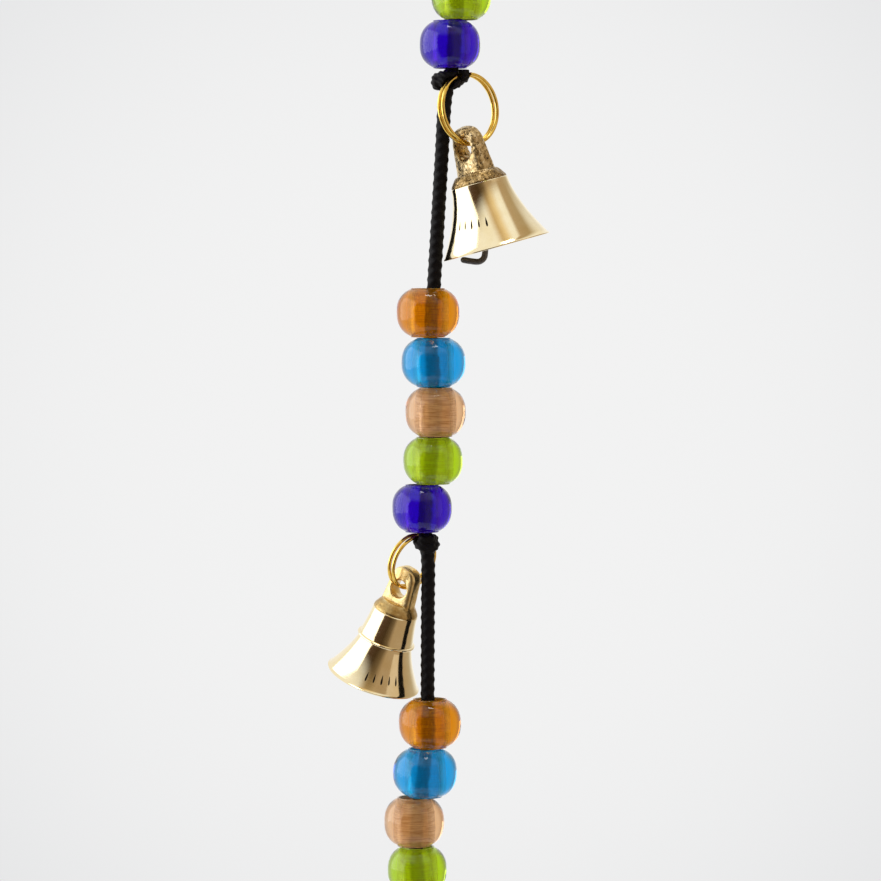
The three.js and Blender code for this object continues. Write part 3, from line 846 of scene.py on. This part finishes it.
def melt(obj, voxel, settling):
    """Joins what overlaps into one even skin, and lets it settle a little."""
    remesh = obj.modifiers.new("melt", "REMESH")
    remesh.mode = "VOXEL"
    remesh.voxel_size = voxel * MM
    smooth = obj.modifiers.new("settle", "SMOOTH")
    smooth.iterations = settling


def combine(obj, operation, other):
    """Adds another object to this one, or cuts it away."""
    step = obj.modifiers.new(operation.lower(), "BOOLEAN")
    step.operation = operation
    step.solver = "EXACT"
    step.object = other
    return step


def add_knot(name, shapes, top, body, node, station=None, ring_frame=None):
    """Melts a knot's turns together and leaves a way through it for the ring."""
    obj = new_object(name, *join_shapes(shapes), cord_look)
    melt(obj, KNOT_VOXEL, settling=2)
    if ring_frame:
        cutter = tunnel_object(station, ring_frame)
        combine(obj, "DIFFERENCE", cutter)
    apply_modifiers(obj)
    if ring_frame:
        bpy.data.objects.remove(cutter)
    keep_largest(obj)
    press_plaits(obj, top)
    return finish_piece(obj, body, "cord", node)


def keep_largest(obj):
    """Drops the crumbs that a cut leaves loose."""
    work = bmesh.new()
    work.from_mesh(obj.data)
    unseen, parts = set(work.verts), []
    while unseen:
        part, front = set(), {unseen.pop()}
        while front:
            part |= front
            front = {edge.other_vert(v) for v in front for edge in v.link_edges} - part
        unseen -= part
        parts.append(part)
    for part in sorted(parts, key=len)[:-1]:
        bmesh.ops.delete(work, geom=list(part), context="VERTS")
    work.to_mesh(obj.data)
    work.free()


def push_surface(obj, lift_at):
    """Moves each vertex along its normal by lift_at(point), in millimetres."""
    count = len(obj.data.vertices)
    places, normals = [0.0] * (3 * count), [0.0] * (3 * count)
    obj.data.vertices.foreach_get("co", places)
    obj.data.vertices.foreach_get("normal", normals)
    for k in range(0, 3 * count, 3):
        point = Vector(places[k : k + 3]) / MM
        point += Vector(normals[k : k + 3]) * lift_at(point)
        places[k : k + 3] = point * MM
    obj.data.vertices.foreach_set("co", places)
    obj.data.update()


def press_plaits(obj, top):
    """Gives a knot's surface the cord's plaits and keeps it below the bead above it."""
    lean, turn, skew = 0.8, 0.9, 0.3

    def lift(p):
        q = p - top
        one_way = (q.x * lean + q.z) / KNOT_PLAIT_PERIOD
        other_way = (q.y * turn - q.z + q.x * skew) / KNOT_PLAIT_PERIOD
        waves = math.cos(math.tau * one_way) + math.cos(math.tau * other_way)
        return KNOT_PLAIT_HEIGHT * waves / 2

    push_surface(obj, lift)
    for vertex in obj.data.vertices:
        vertex.co.z = min(vertex.co.z, top.z * MM)
    obj.data.update()


def add_loop(stub_x):
    inside = CORD_RADIUS * LOOP_LEG_SPREAD
    half = LOOP_HALF_WIDTH
    top = -LOOP_HEIGHT
    points = [Vector((inside, 0, top - KNOT_HEIGHT / 2)), Vector((inside, 0, top))]
    points += [Vector((half * across, 0, top * along)) for across, along in LOOP_OUTLINE]
    points.append(Vector((0, 0, CORD_RADIUS)))
    points += [Vector((-p.x, 0, p.z)) for p in reversed(points[:-1])]
    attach(add_cord_piece("loop_cord", points, "hanging_loop"), "loop")
    knot_top = Vector((0, 0, top))
    bottom = Vector((stub_x, 0, top - KNOT_HEIGHT))
    shapes = knot_shapes(knot_top, bottom, LOOP_KNOT_WIDTH, LOOP_KNOT_LOBE)
    add_knot("loop_knot", shapes, knot_top, "loop", "hanging_loop")
    return knot_top.lerp(bottom, 0.5)


def add_lead(above):
    hinge = pivot("lead_sway_front")
    end = pivot("strand_1_sway")
    obj = add_cord_piece("lead_cord_braid", [above, hinge, hinge.lerp(end, 0.5), end], "lead_cord")
    bend_at_hinge(obj)


def add_strand(number, station, above):
    """A cord from inside the knot above it, through its beads, and the knot under them."""
    hinge = pivot(f"strand_{number}_sway")
    route = strand_route(number, station)
    top = route[-1] - Vector((0, 0, CLEARANCE))
    bottom = top + Vector((station["cord_below"], 0, -KNOT_HEIGHT))
    straight = [hinge.lerp(route[0], share) for share in STRAIGHT_SHARES]
    points = [above, hinge, *straight, *route, top.lerp(bottom, KNOT_CORD_END)]
    body, node = f"strand_{number}", f"strand_cord_{number}"
    obj = add_cord_piece(f"strand_braid_{number}", points, node)
    bend_at_hinge(obj)
    matrix = ring_matrix(number, station)
    held = matrix.translation
    shapes = knot_shapes(top, bottom, station["knot_width"], station["lobe"], held)
    add_knot(f"knot_{number}", shapes, top, body, node, station, matrix)
    return top.lerp(bottom, 0.5), body


# Beads


def bead_profile(kind):
    """A squat round bead: its outside from the bottom up, then down the hole."""
    equator = BEADS[kind]["diameter"] / 2
    height = BEADS[kind]["height"] + BEAD_FILL
    power = BEAD_SQUARENESS
    last = math.acos((BEAD_HOLE_RADIUS / equator) ** (1 / power))
    rise = height / 2 / math.sin(last) ** power
    outside = []
    for k in range(BEAD_ARC_STEPS + 1):
        angle = last * (2 * k / BEAD_ARC_STEPS - 1)
        z = rise * math.copysign(abs(math.sin(angle)) ** power, angle)
        outside.append((equator * math.cos(angle) ** power, z))
    hole = BEAD_HOLE_RADIUS
    top = [
        (hole + BEAD_EDGE * out, height / 2 - BEAD_EDGE * down) for out, down in BEAD_EDGE_CURVE
    ]
    bottom = [(r, -z) for r, z in reversed(top)]
    inside = [(hole, height / 4), (hole, 0), (hole, -height / 4)]
    return outside[1:-1] + top + inside + bottom


def bead_wobble(seed):
    """Small lumps in a bead that was rounded by hand in a flame. The hole stays round."""
    shift = Vector((seed * BEAD_LUMPS_APART, 0, 0))
    lumps_round, lumps_along = 1.1, 0.18
    smooth_band, fade = 0.6, 2
    inward = 0.4

    def wobble(r, z, theta):
        place = polar(1, theta, z * lumps_along) * lumps_round
        lump = noise.noise(place + shift)
        share = min(1, max(0, r - BEAD_HOLE_RADIUS - smooth_band) / fade)
        return r + BEAD_LUMP * lump * share - BEAD_LUMP * inward * share, z

    return wobble


def add_bead(kind, number):
    centre = pivot(f"{kind}_bead_{number}_spin")
    seed = number * 10 + list(BEADS).index(kind)
    shape = lathe(bead_profile(kind), BEAD_SEGMENTS, True, bead_wobble(seed))
    turn = Matrix.Translation(centre) @ Matrix.Rotation(seed * BEAD_TURN, 4, "Z")
    name = f"{kind}_bead_{number}"
    obj = new_object(f"{kind}_glass_{number}", *shape, glass_looks[kind], turn)
    return finish_piece(obj, name, f"{kind}_glass", name)


# Split rings


def ring_line(radius):
    """The wire's two turns. Both its ends lie inside the knot."""
    points = []
    count = round(RING_TURNS * RING_STEPS_PER_TURN)
    for k in range(count + 1):
        t = k / count - 0.5
        angle = math.tau * RING_TURNS * t
        across, up = radius * math.sin(angle), radius * (math.cos(angle) - 1)
        points.append(Vector((across, RING_PITCH * RING_TURNS * t, up)))
    return points


def add_ring(number, station):
    line = ring_line(station["ring_radius"])
    shape = sweep(line, RING_WIRE / 2, WIRE_SIDES)
    obj = new_object(f"ring_wire_{number}", *shape, wire_look, ring_matrix(number, station))
    return finish_piece(obj, f"ring_{number}", "ring_brass", f"split_ring_{number}")


# Bells


def top_radius(bell):
    return bell["drum"]["radius"] if bell["drum"] else bell["skirt_top"]


def skirt_radius(bell, z):
    share = 1 - z / bell["skirt_height"]
    return bell["skirt_top"] + (bell["mouth"] - bell["skirt_top"]) * share ** bell["flare"]


def drum_profile(bell):
    """From the crown's edge down a stepped bell's drum, and over the raised line below it."""
    drum = bell["drum"]
    top_r, low_r = top_radius(bell), bell["skirt_top"]
    top = bell_height(bell) - CROWN_SIDE_SINK
    ridge_top = bell["skirt_height"] + drum["ridge_height"]
    low = ridge_top + DRUM_FOOT_GAP
    points = []
    for k in range(1, DRUM_STEPS + 1):
        share = k / DRUM_STEPS
        points.append((top_r + (low_r - top_r) * share**DRUM_FLARE, top + (low - top) * share))
    for k in range(RIDGE_STEPS + 1):
        angle = math.pi / 2 - math.pi * k / RIDGE_STEPS
        lift = drum["ridge_height"] / 2 * math.sin(angle)
        out = drum["ridge_proud"] * math.cos(angle)
        points.append((low_r + out, ridge_top - drum["ridge_height"] / 2 + lift))
    return points


def skirt_profile(bell):
    """The turned shell, from the axis over the crown and down to the mouth, then back inside."""
    height = bell_height(bell)
    inner_top = height - BELL_CROWN
    radius = top_radius(bell)
    crown = height - CROWN_TOP_SINK
    outer = [(0, crown), (radius - CROWN_EDGE, crown), (radius, height - CROWN_SIDE_SINK)]
    if bell["drum"]:
        outer += drum_profile(bell)
    inner = []
    for k in range(SKIRT_STEPS + 1):
        z = bell["skirt_height"] * (1 - k / SKIRT_STEPS)
        if not bell["drum"] and k == 0:
            z -= SKIRT_TOP_GAP
        outer.append((skirt_radius(bell, z), z + (BELL_RIM if k == SKIRT_STEPS else 0)))
        if z < inner_top:
            inner.insert(0, (skirt_radius(bell, z) - BELL_WALL, z))
    mouth = bell["mouth"]
    outside_curve, inside_curve = (0.3, 0.25), 0.3
    lip = [
        (mouth - BELL_RIM * outside_curve[0], BELL_RIM * outside_curve[1]),
        (mouth - BELL_RIM, 0),
        (mouth - BELL_WALL + BELL_RIM, 0),
        (mouth - BELL_WALL, BELL_RIM * inside_curve),
    ]
    inside = radius - BELL_WALL
    corner = [(inside, inner_top - INSIDE_CORNER), (inside - INSIDE_CORNER, inner_top)]
    return [*outer, *lip, *inner[1:], *corner, (0, inner_top)]


def mark_cutters(bell, matrix, mark_azimuth):
    """Five tapered chisel marks low on the skirt."""
    shapes = []
    middle = (MARK_COUNT - 1) / 2
    height = bell["skirt_height"] * bell["mark_height"]
    step = math.degrees(MARK_SPACING / skirt_radius(bell, height))
    half = MARK_LENGTH / 2
    for k in range(MARK_COUNT):
        z = height + bell["mark_slant"] * (k - middle)
        angle = math.radians(mark_azimuth + step * (k - middle))
        r = skirt_radius(bell, z)
        slope = skirt_radius(bell, z - half) - skirt_radius(bell, z + half)
        down, out = polar(slope, angle, -MARK_LENGTH), polar(1, angle, 0)
        turn = frame_matrix(Vector((r * out.x, r * out.y, z)), down, out)
        size = random.uniform(*MARK_SIZES)
        radii = (MARK_DEPTH, MARK_WIDTH / 2 * size, half * size)
        drop = ellipsoid(radii, MARK_ROWS, MARK_SEGMENTS)
        tapered = []
        for v in drop[0]:
            share = 1 - MARK_TAPER + MARK_TAPER * v.z / half
            tapered.append(Vector((v.x, v.y * share, v.z)))
        shapes.append(moved((tapered, drop[1]), turn))
    return new_object("mark_cutter", *join_shapes(shapes), mark_look, matrix)


def add_skirt(number, bell, local):
    shape = lathe(skirt_profile(bell)[::-1], BELL_SEGMENTS)
    obj = new_object(f"bell_skirt_{number}", *shape, skirt_look, local)
    facing = local.to_3x3().inverted() @ Vector(bell["marks_face"])
    cutter = mark_cutters(bell, local, math.degrees(math.atan2(facing.y, facing.x)))
    combine(obj, "DIFFERENCE", cutter).material_mode = "TRANSFER"
    apply_modifiers(obj)
    bpy.data.objects.remove(cutter)
    obj.data.set_sharp_from_angle(angle=math.radians(BELL_SHARP_EDGE))
    return finish_piece(obj, f"bell_{number}", "bell_brass", f"bell_{number}")


def lug_side(bell):
    """Half the lug's width at a height: a straight flank up to where it meets the round top."""
    lug = bell["lug"]
    radius, foot_half = lug["top_radius"], lug["base_width"] / 2
    foot_z = bell_height(bell) + SHOULDER_RISE / 2
    centre = bell_height(bell) + bell["hole_height"] + lug["rise"] - radius
    reach = math.hypot(foot_half, centre - foot_z)
    slope = math.atan2(centre - foot_z, -foot_half) - math.asin(radius / reach)
    flank = math.sqrt(reach**2 - radius**2)
    touch_z = foot_z + flank * math.sin(slope)

    def half_width(z):
        if z > touch_z:
            return math.sqrt(max(radius**2 - (z - centre) ** 2, 0))
        return foot_half + max(0, z - foot_z) / math.tan(slope)

    return half_width, foot_z, centre + radius


def lug_shape(bell):
    """The lug from its foot up: soft oval sections that narrow to a round top."""
    half_width, foot_z, top_z = lug_side(bell)
    low = bell_height(bell) + LUG_FOOT_SINK
    base = bell["lug"]["base_thickness"]
    power = 2 / bell["lug_roundness"]
    thinnest, narrowest = 0.04, 0.02
    rings = []
    for k in range(LUG_STEPS + 1):
        z = low + (top_z - low) * math.sin(math.pi / 2 * k / LUG_STEPS)
        share = max(0, z - foot_z) / (top_z - foot_z)
        crown = min(1, (top_z - z) / LUG_SOFT_TOP)
        thick = (base + (LUG_THICKNESS - base) * share) * math.sqrt(1 - (1 - crown) ** 2)
        ring = []
        for i in range(LUG_SIDES):
            angle = math.tau * i / LUG_SIDES
            across, along = math.cos(angle), math.sin(angle)
            x = max(thick, thinnest) / 2 * math.copysign(abs(across) ** power, across)
            y = max(half_width(z), narrowest) * math.copysign(abs(along) ** power, along)
            ring.append(Vector((x, y, z)))
        rings.append(ring)
    return skin(rings)


def hole_cutter(bell, local):
    """The lug's hole, which opens out towards both faces."""
    waist, mouth = LUG_HOLE_WAIST / 2, LUG_HOLE_MOUTH / 2
    half = LUG_HOLE_DEPTH / 2
    end, wide = half + LUG_HOLE_PAST, mouth + LUG_HOLE_WIDER
    profile = [(0, -end), (wide, -end), (mouth, -half)]
    for k in range(HOLE_STEPS + 1):
        t = 2 * k / HOLE_STEPS - 1
        profile.append((waist + (mouth - waist) * abs(t) ** LUG_HOLE_CURVE, half * t))
    profile += [(wide, end), (0, end)]
    vertices, faces = lathe(profile, HOLE_SEGMENTS)
    share = bell["hole_share"]
    height = bell_height(bell) + bell["hole_height"] + waist * (1 - share)
    turned = [Vector((v.z, share * v.y, -share * v.x + height)) for v in vertices]
    return new_object("hole_cutter", turned, faces, None, local)


def cap_shape(bell):
    """The sloping cap under the lug, with a small ledge where it meets the turned skirt."""
    height = bell_height(bell)
    radius = top_radius(bell)
    profile = [(0, height - CAP_SINK), (radius - CAP_INSIDE, height - CAP_SINK)]
    profile += [(radius - inset, height + lift) for inset, lift in CAP_LEDGE]
    for inward, up in CAP_SLOPE:
        profile.append((radius - SHOULDER_INSET * inward, height + SHOULDER_RISE * up))
    profile.append((0, height + SHOULDER_RISE))
    return lathe(profile, CAP_SEGMENTS)


def add_casting(number, bell, local):
    """The lug and the sloping cap under it, left as they were cast."""
    look = cast_looks[bell["casting"]]
    body = new_object(f"bell_casting_{number}", *lug_shape(bell), look, local)
    cap = new_object("cap", *cap_shape(bell), None, local)
    cutter = hole_cutter(bell, local)
    combine(body, "UNION", cap)
    combine(body, "DIFFERENCE", cutter)
    melt(body, CAST_VOXEL, settling=4)
    apply_modifiers(body)
    for other in (cap, cutter):
        bpy.data.objects.remove(other)
    pit_surface(body, number, bell["pit_depth"])
    return finish_piece(body, f"bell_{number}", "bell_brass", f"bell_{number}")


def pit_surface(obj, seed, depth):
    """Presses the pits of a sand casting into a surface."""
    shift = Vector((seed * PITS_APART, 0, 0))
    coarse_scale, fine_scale, pit_scale = 0.9, 2.6, 1.3
    coarse_share, fine_share, pit_share = 0.35, 0.3, 2.4
    pit_from = 0.2
    highest = 0.04

    def lift(p):
        coarse = noise.noise(p * coarse_scale + shift)
        fine = noise.noise(p * fine_scale - shift)
        pit = max(0, noise.noise(p * pit_scale + shift * 2) - pit_from) * pit_share
        return min(depth * (coarse_share * coarse + fine_share * fine - pit), highest)

    push_surface(obj, lift)


def add_staple(number, bell, local):
    """The wire in the crown. Its bow runs along the clapper's hinge."""
    crown = bell_height(bell) - BELL_CROWN
    half = (STAPLE_INNER_WIDTH + STAPLE_WIRE) / 2
    bow = crown - STAPLE_DROP + half
    top = crown + STAPLE_SOCKET
    points = [Vector((0, -half, top))]
    for k in range(BOW_STEPS + 1):
        angle = math.pi * k / BOW_STEPS
        points.append(Vector((0, -half * math.cos(angle), bow - half * math.sin(angle))))
    points.append(Vector((0, half, top)))
    line = smooth_line(points, WIRE_STEP)
    shape = sweep(line, STAPLE_WIRE / 2, WIRE_SIDES)
    hinge = local.to_3x3().inverted() @ joint_axis(f"clapper_{number}_swing")
    turn = Matrix.Rotation(math.atan2(hinge.y, hinge.x) - math.pi / 2, 4, "Z")
    obj = new_object(f"staple_wire_{number}", *shape, iron_look, local @ turn)
    return finish_piece(obj, f"bell_{number}", "iron", f"clapper_staple_{number}")


def clapper_points(bell):
    """The wire's line: an eye round the staple, a shank, a bend and a foot."""
    eye = (CLAPPER_EYE_INNER + CLAPPER_WIRE) / 2
    eye_z = STAPLE_WIRE / 2 + CLEARANCE - CLAPPER_EYE_INNER / 2
    hang = bell_height(bell) - BELL_CROWN - STAPLE_DROP
    length = hang + bell["clapper"]["below_mouth"] - CLAPPER_WIRE / 2
    points = []
    for k in range(EYE_STEPS + 1):
        angle = math.radians(CLAPPER_EYE_FROM + CLAPPER_EYE_ARC * k / EYE_STEPS)
        points.append(Vector((eye * math.cos(angle), 0, eye_z + eye * math.sin(angle))))
    points.append(Vector((0, 0, eye_z - eye * CLAPPER_NECK)))
    centre = Vector((-CLAPPER_BEND, 0, CLAPPER_BEND - length))
    for k in range(BEND_STEPS + 1):
        angle = -math.pi / 2 * k / BEND_STEPS
        out = Vector((CLAPPER_BEND * math.cos(angle), 0, CLAPPER_BEND * math.sin(angle)))
        points.append(centre + out)
    points.append(Vector((centre.x - bell["clapper"]["foot"], 0, CLAPPER_FOOT_RISE - length)))
    return points


def add_clapper(number, bell):
    hinge = pivot(f"clapper_{number}_swing")
    across = joint_axis(f"clapper_{number}_swing")
    matrix = frame_matrix(hinge, Vector((0, 0, 1)), across.cross(Vector((0, 0, 1))))
    line = smooth_line(clapper_points(bell), WIRE_STEP)
    shape = sweep(line, CLAPPER_WIRE / 2, WIRE_SIDES, hammered, round_ends=True)
    obj = new_object(f"clapper_wire_{number}", *shape, iron_look, matrix)
    return finish_piece(obj, f"clapper_{number}", "iron", f"clapper_{number}")


def hammered(theta, s):
    """The flats that bending by hand leaves on iron wire."""
    flats_round, flats_along = 1.3, 0.7
    return FLAT_DEPTH * noise.noise(polar(1, theta, s * flats_along) * flats_round)


# Stage


def add_floor():
    """A pale disc under the chime. Seen directly it is as pale as the background."""
    bpy.ops.mesh.primitive_circle_add(
        vertices=FLOOR_SEGMENTS, radius=FLOOR_RADIUS, fill_type="NGON", location=(0, 0, FLOOR_Z)
    )
    floor = bpy.context.object
    floor.name = "studio_floor"
    material, tree, shader = node_material("studio_floor")
    feed(tree, shader, Base_Color=FLOOR_COLOUR, Roughness=0.9)
    path = add_node(tree, "ShaderNodeLightPath")
    fade_from, fade_to = (FLOOR_RADIUS / MM * share for share in FLOOR_FADE)
    rim = between(tree, distance_from_axis(tree), fade_from, fade_to)
    glow = add_node(tree, "ShaderNodeEmission", Strength=1, Color=mixed(tree, rim, PALE, PALE_EDGE))
    seen = path.outputs["Is Camera Ray"]
    for ray in ("Is Transmission Ray", "Is Glossy Ray"):
        seen = math_node(tree, "MAXIMUM", seen, path.outputs[ray])
    share = math_node(tree, "MULTIPLY", seen, math_node(tree, "MAXIMUM", rim, FLOOR_GLOW))
    mix = add_node(tree, "ShaderNodeMixShader", Fac=share)
    connect(tree, mix.inputs[1], shader.outputs["BSDF"])
    connect(tree, mix.inputs[2], glow.outputs["Emission"])
    feed(tree, tree.nodes["Material Output"], Surface=mix.outputs["Shader"])
    floor.data.materials.append(material)


def add_world():
    """A pale backdrop. Metal also mirrors the room's darker and warmer parts."""
    world = bpy.data.worlds.new("studio")
    bpy.context.scene.world = world
    world.use_nodes = True
    tree = world.node_tree
    direction = add_node(tree, "ShaderNodeTexCoord").outputs["Generated"]
    x, y, z = add_node(tree, "ShaderNodeSeparateXYZ", Vector=direction).outputs
    product = add_node(tree, "ShaderNodeVectorMath", operation="DOT_PRODUCT", Vector=direction)
    connect(tree, product.inputs[1], Vector(BACKDROP_MIDDLE).normalized())
    toward = product.outputs["Value"]
    off_axis = between(tree, toward, 1, BACKDROP_EDGE)
    pale = mixed(tree, off_axis, PALE, PALE_EDGE)
    angle = math_node(tree, "ARCTAN2", x, math_node(tree, "MULTIPLY", y, -1))
    around = math_node(tree, "ADD", math_node(tree, "DIVIDE", angle, math.tau), 0.5)
    low, high = (
        ramp(tree, around, [((azimuth + 180) / 360, colour) for azimuth, colour in stops])
        for stops in (ROOM_LOW, ROOM_HIGH)
    )
    mirrored = mixed(tree, between(tree, z, *ROOM_BLEND), low, high)
    squared = math_node(tree, "POWER", toward, 2)
    through = mixed(tree, between(tree, squared, *THROUGH_BLEND), ROOM_DIM, pale)
    path = add_node(tree, "ShaderNodeLightPath")
    colour = mixed(tree, path.outputs["Is Glossy Ray"], ROOM_LIGHT, mirrored)
    colour = mixed(tree, path.outputs["Is Transmission Ray"], colour, through)
    colour = mixed(tree, path.outputs["Is Camera Ray"], colour, pale)
    feed(tree, tree.nodes["Background"], Color=colour, Strength=1)


def add_area_light(name, location, size, energy, colour):
    lamp = bpy.data.lights.new(name, "AREA")
    lamp.shape = "RECTANGLE"
    lamp.size, lamp.size_y = size
    lamp.energy = energy
    lamp.color = colour
    obj = bpy.data.objects.new(name, lamp)
    bpy.context.collection.objects.link(obj)
    obj.location = location
    obj.rotation_euler = (Vector(LAMP_TARGET) - Vector(location)).to_track_quat("-Z", "Y").to_euler()


def build():
    add_camera()
    inside_knot, body = add_loop(pivot("lead_sway_front").x), "lead"
    add_lead(inside_knot)
    for number, station in enumerate(STATIONS, 1):
        inside_knot, body = add_strand(number, station, inside_knot)
        for kind in BEADS:
            add_bead(kind, number)
        add_ring(number, station)
        bell = station["bell"]
        local = bell_matrix(number, bell)
        add_skirt(number, bell, local)
        add_casting(number, bell, local)
        add_staple(number, bell, local)
        add_clapper(number, bell)
    add_floor()
    add_world()
    for lamp in LAMPS:
        add_area_light(*lamp)
    bpy.context.scene.view_settings.view_transform = "Standard"


build()
